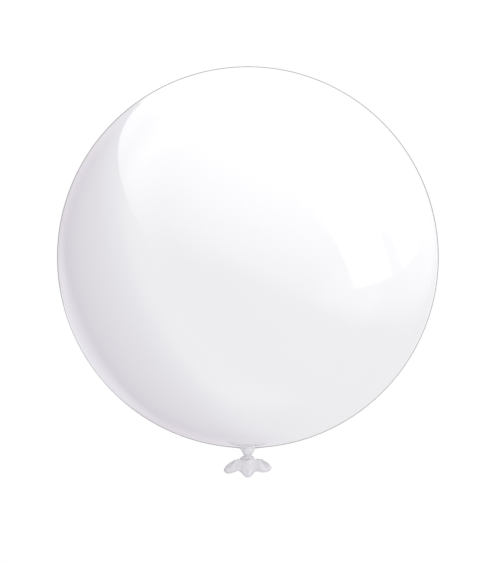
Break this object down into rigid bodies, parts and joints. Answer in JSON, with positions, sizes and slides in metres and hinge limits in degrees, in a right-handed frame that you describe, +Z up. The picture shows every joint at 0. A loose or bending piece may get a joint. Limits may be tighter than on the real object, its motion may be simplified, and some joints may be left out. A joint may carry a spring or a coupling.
{
  "type": "balloon",
  "caption": "Round inflated latex balloon with a gathered neck, a pinched throat where a ribbon is tied, a small knot and a flared tail with a rolled rim.",
  "frame": {"origin": "centre of the pinched throat between the gathered neck and the knot, where a ribbon is tied", "axes": "+Z up along the balloon's own axis through its crown, +X to the right seen from the front, -Y towards the front, the side of the tail's longest lobe"},
  "size_m": [0.2999, 0.3, 0.3236],
  "materials": {
    "stretched_film": "glossy stretched latex, white",
    "gathered_film": "satin gathered latex, white",
    "tail_film": "satin unstretched latex, white"
  },
  "bodies": {
    "balloon": {"envelope": "stretched_film", "crown_spot": "stretched_film", "neck": "gathered_film"},
    "throat": {"throat": "gathered_film"},
    "knot": {"knot_core": "gathered_film", "knot_loop": "gathered_film"},
    "tail": {"tail_skirt": "tail_film", "rolled_lip": "tail_film"}
  },
  "joints": [
    {"name": "swing_front", "type": "hinge", "parent": "balloon", "child": "throat", "pos_m": [0, 0, 0], "axis": [1, 0, 0], "range_deg": [-25, 25], "stiffness_Nm_per_rad": 0.0002},
    {"name": "swing_side", "type": "hinge", "parent": "throat", "child": "knot", "pos_m": [0, 0, 0], "axis": [0, 1, 0], "range_deg": [-25, 25], "stiffness_Nm_per_rad": 0.0002},
    {"name": "tail_twist", "type": "hinge", "parent": "knot", "child": "tail", "pos_m": [0, 0, -0.0058], "axis": [0, 0, 1], "range_deg": [-60, 60], "stiffness_Nm_per_rad": 0.0001}
  ]
}
